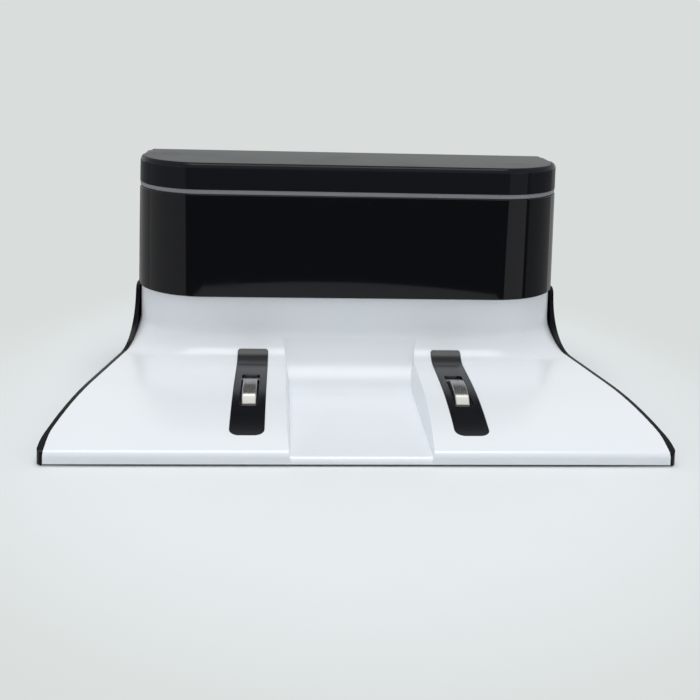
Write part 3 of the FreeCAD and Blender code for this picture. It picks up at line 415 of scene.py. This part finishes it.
# %% [markdown]
# The cover has two finishes: its top is dull, and the band round its front is polished as the window is.
# Two materials could meet on an edge, but here the change lies on a rounded one. So a clear coat makes the
# difference, and its weight follows the height. Where cover, strip and window meet, each has a small radius
# of its own, and together the radii read as fine joint lines.

# %% Cover and window
BAND_TOP = (90.7 * MM, 91.1 * MM)
BAND_COAT = 0.2
UPRIGHT = 0.3
LEVEL = 0.9

COVER.set("Coat Weight", BAND_COAT - BAND_COAT * COVER.limits(COVER.along("Z"), *BAND_TOP))


def level_edge(middle, normals, outward):
    """An edge that runs round a piece, between its side and a level face."""
    side, face = sorted(abs(normal.z) for normal in normals)
    return outward and side < UPRIGHT and face > LEVEL


def eased(node, finish, radius):
    shape = welded(node)
    print("level edges of", node, soften(shape, level_edge, radius, steps=2))
    return stand_for(node, shape, finish)


eased("top_cover", COVER, radius=0.3)
eased("ir_window", WINDOW, radius=0.25)

# %% [markdown]
# An inlay is a gloss strip set flush in the ramp, with a slot where the contact comes through. It is eased
# round its rim and a little more round the slot. The edges of the slot could be listed by hand. They are
# found by how far they lie inside the outline instead, so one test serves both inlays.

# %% Inlays
SIDES = ("left", "right")
SLOT_MARGIN = (2.6, 8.0)
FACING_UP = 0.7


def inlay_rim(middle, normals, outward):
    return outward and max(normal.z for normal in normals) > FACING_UP


def slot_rim_of(node):
    """A test for the edges of an inlay's slot: those well inside its outline."""
    low, high = [Vector(corner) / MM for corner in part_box(node)]

    def slot_rim(middle, normals, outward):
        clear_x = min(middle.x - low.x, high.x - middle.x) > SLOT_MARGIN[0]
        clear_y = min(middle.y - low.y, high.y - middle.y) > SLOT_MARGIN[1]
        return clear_x and clear_y and inlay_rim(middle, normals, outward)

    return slot_rim


for side in SIDES:
    bezel = f"contact_bezel_{side}"
    inlay = welded(bezel)
    print("slot rim", soften(inlay, slot_rim_of(bezel), radius=0.55, steps=4))
    print("inlay rim", soften(inlay, inlay_rim, radius=0.3, steps=3))
    stand_for(bezel, inlay, INLAY)

# %% [markdown]
# The housing is one moulding with two surfaces. The cheeks are smooth and deep black, and the wall at the
# back, which stands against a skirting board, keeps the coarse grain that hides scuffs. The back's tone is
# lighter than the cheeks': partly its grain, partly painted light that lifts the back, where the lamps hardly
# reach. Two materials would need a seam between them. One is enough here, because the place along Y says
# which surface is which.

# %% Housing
BACK_WALL = (63.0 * MM, 65.5 * MM)
CHEEK_TONE = (0.004, 0.0042, 0.0056, 1)
# The back's two tones are lighter than its grain alone would make them: painted light for the back, which the
# lamps hardly reach.
BACK_LIFTED_TONES = ((0.024, 0.024, 0.026, 1), (0.036, 0.036, 0.038, 1))


def housing_black():
    finish = Finish("housing_black", Specular_IOR_Level=0.1)
    back = finish.limits(finish.along("Y"), *BACK_WALL)
    grain = finish.noise(scale=1500, detail=3)
    # Painted light: the back's drifting tone is lifted, standing in for light that the lamps don't give it.
    lifted_back_tone = finish.blend(finish.noise(scale=34, detail=5), *BACK_LIFTED_TONES)
    finish.set("Base Color", finish.blend(back, CHEEK_TONE, lifted_back_tone))
    finish.set("Roughness", 0.22 + 0.05 * finish.noise(scale=34, detail=4) + back * (0.2 + 0.15 * grain))
    finish.bump(back * grain, strength=0.35, distance=0.12 * MM)
    return finish


HOUSING = housing_black()
housing = welded("rear_housing")
print("finish", HOUSING.material.name, "for", len(housing.faces), "faces")

# %% [markdown]
# A dock has a field for its rating label on the back, a third of a millimetre deep so that the label's
# edges don't lift. It stays bare here. A boolean could cut it, but would leave thin stray faces on a wall
# of many parts. So four cuts through the wall's faces mark it out, a bevel of its corner points rounds it,
# and an inset sinks it.

# %% Label field
FIELD_X = (-38.0, 26.0)
FIELD_Z = (30.0, 62.0)
FIELD_AREA = 50 * MM * MM
FIELD_ROUND = 3.0
FIELD_SINK = 0.35
FIELD_SLOPE = 0.2
FLAT = 0.999
NEAR = 0.01


def cut_faces(shape, faces, cuts):
    """Cut faces along planes, each a point and a direction, and return all their parts."""
    for point, direction in cuts:
        around = {part for face in faces for part in (*face.verts, *face.edges)}
        made = bmesh.ops.bisect_plane(shape, geom=faces + list(around), plane_co=point, plane_no=direction)
        faces = [part for part in made["geom"] if isinstance(part, bmesh.types.BMFace)]
    return faces


def inset(shape, faces, width, sink=0.0):
    bmesh.ops.inset_region(shape, faces=faces, thickness=width * MM, depth=-sink * MM, use_even_offset=True)


def sink_field(shape, wall_y):
    def on_wall(face):
        return face.normal.y > FLAT and face.calc_center_median().y > wall_y - WELD

    def on_line(place, lines):
        return min(abs(place / MM - line) for line in lines) < NEAR

    def in_field(place):
        return FIELD_X[0] < place.x / MM < FIELD_X[1] and FIELD_Z[0] < place.z / MM < FIELD_Z[1]

    cuts = [(Vector((x, 0, 0)) * MM, (1, 0, 0)) for x in FIELD_X]
    cuts += [(Vector((0, 0, z)) * MM, (0, 0, 1)) for z in FIELD_Z]
    cut_faces(shape, [face for face in shape.faces if on_wall(face)], cuts)
    corners = [vert for vert in shape.verts if vert.co.y > wall_y - WELD
               and on_line(vert.co.x, FIELD_X) and on_line(vert.co.z, FIELD_Z)]
    round_off(shape, corners, FIELD_ROUND, steps=5, affect="VERTICES")
    field = [face for face in shape.faces if on_wall(face) and in_field(face.calc_center_median())
             and face.calc_area() > FIELD_AREA]
    inset(shape, field, FIELD_SLOPE, FIELD_SINK)
    shape.normal_update()
    return len(corners), len(field)


print("label field corners and faces", sink_field(housing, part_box("rear_housing")[1][1]))

# %% [markdown]
# The cheeks edge the ramp and are as thin as a coin, so their whole edge is rounded, and the corner below
# the window a little more. Rounding edge and corner at once would give the corner the edge's small radius.
# So the corner comes first, and the edge then runs on over it.

# %% Cheek edges
CHEEK_X = 78.0
CHEEK_FOOT_Z = 1.0
CHEEK_SIDE = 0.8
CHEEK_RIM = 0.6
CORNER_Z = (36.5, 37.5)
CORNER_Y = 43.0
CORNER_ACROSS = 0.1


def cheek_edge(middle, normals, outward):
    rim, side = sorted(abs(normal.x) for normal in normals)
    on_cheek = abs(middle.x) > CHEEK_X and middle.z > CHEEK_FOOT_Z
    return outward and on_cheek and rim < CHEEK_RIM and side > CHEEK_SIDE


def cheek_corner(middle, normals, outward):
    across = max(abs(normal.x) for normal in normals) < CORNER_ACROSS
    at_corner = CORNER_Z[0] < middle.z < CORNER_Z[1] and middle.y < CORNER_Y
    return outward and across and at_corner and abs(middle.x) > CHEEK_X


print("cheek corners", soften(housing, cheek_corner, radius=3.0, steps=5))
print("cheek edges", soften(housing, cheek_edge, radius=0.5, steps=3))
stand_for("rear_housing", housing, HOUSING)

# %% [markdown]
# The thin band over the window is a grey moulded strip, duller than the gloss on either side of it. It
# could be a painted line, but its edges catch the light as a real strip's do. The lower edge has the larger
# radius and turns softly into the dark above the window.

# %% Grey trim
GREY_TONES = ((0.225, 0.225, 0.24, 1), (0.255, 0.255, 0.275, 1))


def satin_grey():
    finish = Finish("satin_grey")
    finish.mottle(GREY_TONES, scale=90, detail=3)
    finish.set("Roughness", 0.3 + 0.15 * finish.noise(scale=300, detail=2))
    finish.bump(finish.noise(scale=2600, detail=2), strength=0.05, distance=0.04 * MM)
    return finish


def strip_foot(middle, normals, outward):
    return level_edge(middle, normals, outward) and lowest(normals) < -LEVEL


strip = welded("accent_strip")
print("strip foot", soften(strip, strip_foot, radius=0.7, steps=4))
print("strip top", soften(strip, level_edge, radius=0.2, steps=2))
stand_for("accent_strip", strip, satin_grey())

# %% [markdown]
# The base, the hidden plastics, the wires and the rubber feet come straight from a textured mould. Each
# could have a material of its own. They differ only in a colour, a roughness and how deep and fine the
# texture is, so one function gives them all. The feet show from below, and are copies with eased edges.

# %% Textured plastics, rubber and wire cover
MOULD_GRAIN = 3200
RUBBER_GRAIN = 1400
COARSER = 8
TONE_GAIN = 1.18
TONE_LIFT = 0.004
GLOSS_SPREAD = 0.12
SLIDES = [f"contact_{part}_{side}" for part in ("guide", "carrier") for side in SIDES]
PLASTICS = (
    # name, colour, roughness, depth in mm, nodes
    ("base_black", (0.018, 0.018, 0.02), 0.5, 0.06, ["base_plate"]),
    ("slide_black", (0.02, 0.02, 0.021), 0.42, 0.03, SLIDES),
    ("header_cream", (0.66, 0.63, 0.54), 0.45, 0.03, ["lead_header"]),
    ("shroud_black", (0.015, 0.015, 0.015), 0.6, 0.05, ["beam_shroud"]),
    ("inlet_black", (0.02, 0.02, 0.02), 0.4, 0.04, ["dc_jack"]),
    ("black_wire", (0.012, 0.012, 0.012), 0.38, 0.02, ["contact_lead_left", "inlet_lead"]),
    ("red_wire", (0.36, 0.012, 0.01), 0.38, 0.02, ["contact_lead_right"]),
)


def textured(name, colour, rough, depth, grain):
    finish = Finish(name)
    light = tuple(min(1.0, part * TONE_GAIN + TONE_LIFT) for part in colour)
    finish.mottle(((*colour, 1), (*light, 1)), scale=70, detail=4)
    glossiest = rough - GLOSS_SPREAD / 2
    finish.set("Roughness", glossiest + GLOSS_SPREAD * finish.noise(scale=grain / COARSER, detail=3))
    finish.bump(finish.noise(scale=grain, detail=3), strength=0.25, distance=depth * MM)
    return finish


def dress(finish, names):
    """Give CAD nodes a finish in place of their plain colour."""
    for name in names:
        nodes[name].data.materials.clear()
        nodes[name].data.materials.append(finish.material)
    print(finish.material.name, "on", ", ".join(names))


for name, colour, rough, depth, names in PLASTICS:
    dress(textured(name, colour, rough, depth, MOULD_GRAIN), names)
RUBBER = textured("foot_rubber", (0.055, 0.055, 0.056), rough=0.75, depth=0.12, grain=RUBBER_GRAIN)
for number in range(1, 5):
    eased(f"foot_{number}", RUBBER, radius=0.25)

# %% [markdown]
# The contacts are nickel-plated strip. Every docking rubs them from front to back, so their fine lines run
# along the dock. An anisotropic shader could stretch the highlights, but the lines show up close: a noise
# stretched along Y does both the lines in the roughness and the small scratches in the bump. The toes,
# where the robot first touches, are worn dull.

# %% Metals
ALONG_Y = (5200, 90, 5200)
SHOE_TOE = (-31.0 * MM, -29.6 * MM)
TOE_DULL = 0.4
LINE_DULL = 0.16
LINE_SHADE = 0.86


def drawn_metal(name, colour, rough, stretch, toe=None):
    """Metal with fine lines, and duller in front of the toe's limits along Y."""
    finish = Finish(name, Metallic=1.0)
    lines = finish.noise(scale=1, detail=4, stretch=stretch)
    dull = tuple(part * LINE_SHADE for part in colour)
    finish.set("Base Color", finish.blend(lines, (*dull, 1), (*colour, 1)))
    roughness = rough + LINE_DULL * lines
    if toe:
        roughness = roughness + TOE_DULL * (1 - finish.limits(finish.along("Y"), *toe))
    finish.set("Roughness", roughness)
    finish.bump(lines, strength=0.08, distance=0.03 * MM)
    return finish


NICKEL = drawn_metal("nickel", (0.56, 0.55, 0.53), rough=0.2, stretch=ALONG_Y, toe=SHOE_TOE)
BRASS = drawn_metal("brass", (0.72, 0.52, 0.22), rough=0.22, stretch=ALONG_Y)
dress(NICKEL, [f"contact_shoe_{side}" for side in SIDES])
dress(BRASS, [f"contact_terminal_{side}" for side in SIDES])

# %% [markdown]
# The screws hold the base plate from below and the board from the front, and each head has a cross recess.
# A dark cross in the material would look flat from the side, so it is modelled: an inset leaves the head's
# rim, two pairs of cuts mark out the cross, and a second inset sinks it.

# %% Screws
EVEN = (1500, 1500, 1500)
STEEL = drawn_metal("screw_steel", (0.52, 0.52, 0.53), rough=0.28, stretch=EVEN)
HEAD_AREA = 15 * MM * MM
HEAD_RIM = 0.9
CROSS_HALF = 0.45
CROSS_DEPTH = 0.9
CROSS_SLOPE = 0.12


def cross_recess(shape, head):
    middle = head.calc_center_median()
    arms = [Vector((1, 0, 0)), head.normal.cross(Vector((1, 0, 0)))]
    inset(shape, [head], HEAD_RIM)
    cuts = [(middle + arm * side * CROSS_HALF * MM, arm) for arm in arms for side in (-1, 1)]
    parts = cut_faces(shape, [head], cuts)
    cross = [part for part in parts
             if min(abs((part.calc_center_median() - middle).dot(arm)) for arm in arms) < CROSS_HALF * MM]
    inset(shape, cross, CROSS_SLOPE, CROSS_DEPTH)
    shape.normal_update()


for name, facing in (("base_screws", Vector((0, 0, -1))), ("board_screws", Vector((0, -1, 0)))):
    screws = welded(name)
    heads = [face for face in screws.faces if face.normal.dot(facing) > FLAT and face.calc_area() > HEAD_AREA]
    for head in heads:
        cross_recess(screws, head)
    print(name, len(heads), "heads")
    stand_for(name, screws, STEEL)

# %% [markdown]
# Under each contact a bowed leaf spring pushes it up. The real leaf flattens as the contact goes down, and
# a solid in the imported model can't. Here each leaf is a finished copy with a mesh of its own, and it stays
# stiff: the leaf is hidden, but a pressed contact would cut through it.

# %% Leaf springs
SPRING = drawn_metal("spring_strip", (0.60, 0.60, 0.60), rough=0.2, stretch=ALONG_Y)
for side in SIDES:
    spring = f"contact_spring_{side}"
    leaf = stand_for(spring, welded(spring), SPRING)
    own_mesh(leaf)

# %% [markdown]
# The board is glass laminate under green solder mask, with copper tracks that show as slightly lighter
# lanes. Drawn tracks would be lost behind the dark window, so a wave texture stands for them. The emitters
# are dark resin that lets only infrared through. It looks nearly black, so a plain glossy tone is enough.

# %% Board and emitters
MASK_TONES = ((0.012, 0.085, 0.03, 1), (0.022, 0.14, 0.05, 1))
RESIN_TONES = ((0.010, 0.006, 0.018, 1), (0.02, 0.012, 0.03, 1))
TRACK_LIMITS = (0.55, 0.65)


def board_green():
    finish = Finish("board_green")
    lanes = finish.node("ShaderNodeTexWave", {"bands_direction": "Z"},
                        {"Vector": finish.place(), "Scale": 130, "Distortion": 3.0, "Detail": 0.0})
    tracks = finish.limits(lanes, *TRACK_LIMITS)
    finish.set("Base Color", finish.blend(tracks, *MASK_TONES))
    finish.set("Roughness", 0.28 + 0.12 * finish.noise(scale=500, detail=2))
    finish.bump(tracks, strength=0.3, distance=0.03 * MM)
    return finish


def dark_resin():
    finish = Finish("dark_resin")
    finish.mottle(RESIN_TONES, scale=300, detail=2)
    finish.set("Roughness", 0.06 + 0.06 * finish.noise(scale=700, detail=2))
    return finish


dress(board_green(), ["control_board"])
dress(dark_resin(), [f"ir_emitter_{number}" for number in range(1, 5)])

# %% [markdown]
# The dock stands on a small oval of white paper, its size in metres. A wide floor would show a horizon and
# would be mirrored in the window. The oval takes the contact shadow, and towards its rim it fades into the
# even pale tone behind it, so no edge shows from any side. The fade is a Mix Shader between the paper and
# that tone. Only what the camera, the gloss and clear material see is mixed, and the light that the paper
# throws back stays.

# %% Paper floor
PAPER_HALF = (0.19, 0.24)
PAPER_LEVEL = -0.05 * MM
PAPER_FADE = (0.5, 0.98)
PAPER_TONES = ((0.745, 0.775, 0.785, 1), (0.765, 0.795, 0.805, 1))
BACKDROP_TONE = (0.694, 0.730, 0.716, 1)
OVAL_SIDES = 96


def oval(half_x, half_y, level):
    shape = bmesh.new()
    bmesh.ops.create_circle(shape, cap_ends=True, segments=OVAL_SIDES, radius=1.0)
    bmesh.ops.scale(shape, vec=(half_x, half_y, 1), verts=shape.verts)
    bmesh.ops.translate(shape, vec=(0, 0, level), verts=shape.verts)
    return shape


def seen_directly(graph):
    """1 for what the camera, the gloss and clear material see, 0 for light that bounces."""
    kinds = ("Camera", "Glossy", "Transmission")
    camera_ray, gloss, clear = [graph.node("ShaderNodeLightPath", output=f"Is {kind} Ray") for kind in kinds]
    return graph.math("MAXIMUM", graph.math("MAXIMUM", camera_ray, gloss), clear)


def studio_paper():
    finish = Finish("studio_paper", Roughness=0.7)
    finish.mottle(PAPER_TONES, scale=40, detail=4)
    spread = finish.node("ShaderNodeVectorMath", {"operation": "LENGTH"},
                         {0: finish.place((1 / PAPER_HALF[0], 1 / PAPER_HALF[1], 0))}, output="Value")
    fade = finish.limits(spread, *PAPER_FADE) * seen_directly(finish)
    paper = Tone(finish, finish.shader.outputs[0])
    even = finish.node("ShaderNodeEmission", inputs={"Color": BACKDROP_TONE})
    mixed = finish.node("ShaderNodeMixShader", inputs={0: fade, 1: paper, 2: even})
    finish.feed(finish.tree.nodes["Material Output"].inputs["Surface"], mixed)
    return finish


paper_floor = link_mesh("studio_paper", oval(*PAPER_HALF, PAPER_LEVEL), studio_paper())
print("paper", [round(size, 3) for size in paper_floor.dimensions[:2]], "m")

# %% [markdown]
# The paper lies on a table, and well below it is the dark floor of the room. The upright gloss of the
# window leans back a little and looks past the paper at that floor: this is what makes it black. A blacker
# plastic alone wouldn't, because gloss shows what it faces. The camera doesn't see the room's floor,
# because the tone behind the dock is even.

# %% Dark room floor
ROOM_HALF = 14.0
ROOM_LEVEL = -0.4
ROOM_TONES = ((0.02, 0.02, 0.022, 1), (0.03, 0.03, 0.032, 1))


def room_floor():
    finish = Finish("room_floor", Roughness=0.9)
    finish.mottle(ROOM_TONES, scale=2, detail=3)
    return finish


room = link_mesh("room_floor", oval(ROOM_HALF, ROOM_HALF, ROOM_LEVEL), room_floor())
room.visible_camera = False
print("room floor", ROOM_LEVEL, "m")

# %% [markdown]
# The light is soft and comes mostly from straight above: a panel of moderate size, so that the concave
# sweep at the tower's foot carries a bright line where it mirrors the panel. A wide panel high in front
# fills the ramp. Upright panels stand round the sides and behind, low enough to be mirrored in the rounded
# ends of the window and along the cheeks. Even light alone would be simpler, but gloss needs something with
# an edge to mirror.

# %% Lights
def panel(name, place, size, power, target=(0, 0, 0)):
    """A lamp of a width and a height in metres and a power in watts, turned to the target."""
    light = bpy.data.lights.new(name, "AREA")
    light.shape = "RECTANGLE"
    light.size, light.size_y = size
    light.energy = power
    made = bpy.data.objects.new(name, light)
    made.location = place
    aim = Vector(target) - Vector(place)
    made.rotation_euler = aim.to_track_quat("-Z", "Y").to_euler()
    made.visible_camera = False
    scene.collection.objects.link(made)
    print(name, power, "W")


def compass(degrees, distance, level):
    """A place around the dock: 0 degrees is straight in front, positive to the right."""
    turn = math.radians(degrees)
    return (distance * math.sin(turn), -distance * math.cos(turn), level)


RING = 1.1
panel("overhead_panel", (-0.02, 0.0, 1.5), size=(1.05, 1.0), power=14.2)
panel("front_panel", compass(-4, 1.6, 1.1), size=(1.6, 0.5), power=1.2, target=(0, 0, 0.03))
panel("left_panel", compass(-72, RING, 0.0), size=(1.62, 1.0), power=2.5)
panel("right_panel", compass(45, RING, 0.0), size=(0.66, 1.0), power=1.35)
panel("far_right_panel", compass(100, RING, 0.0), size=(1.4, 1.0), power=1.1)
panel("rear_left_panel", compass(-131, RING, 0.0), size=(0.95, 1.0), power=1.0)
panel("rear_right_panel", compass(140, RING, -0.2), size=(0.5, 0.8), power=0.5)

# %% [markdown]
# The world is the light of the room and the even tone behind the dock. One colour can't be both, because
# the tone would light the dock too strongly. Light Path tells the two apart: what is seen directly or in
# the gloss has the tone, and what lights the dock has a weaker grey.

# %% World
ROOM_LIGHT = (0.46, 0.475, 0.49, 1)
world = bpy.data.worlds.new("studio_world")
world.use_nodes = True
sky = Graph(world.node_tree)
surroundings = sky.blend(seen_directly(sky), ROOM_LIGHT, BACKDROP_TONE)
sky.feed(sky.tree.nodes["Background"].inputs["Color"], surroundings)
scene.world = world
print("room light", ROOM_LIGHT[:3], "backdrop", BACKDROP_TONE[:3])
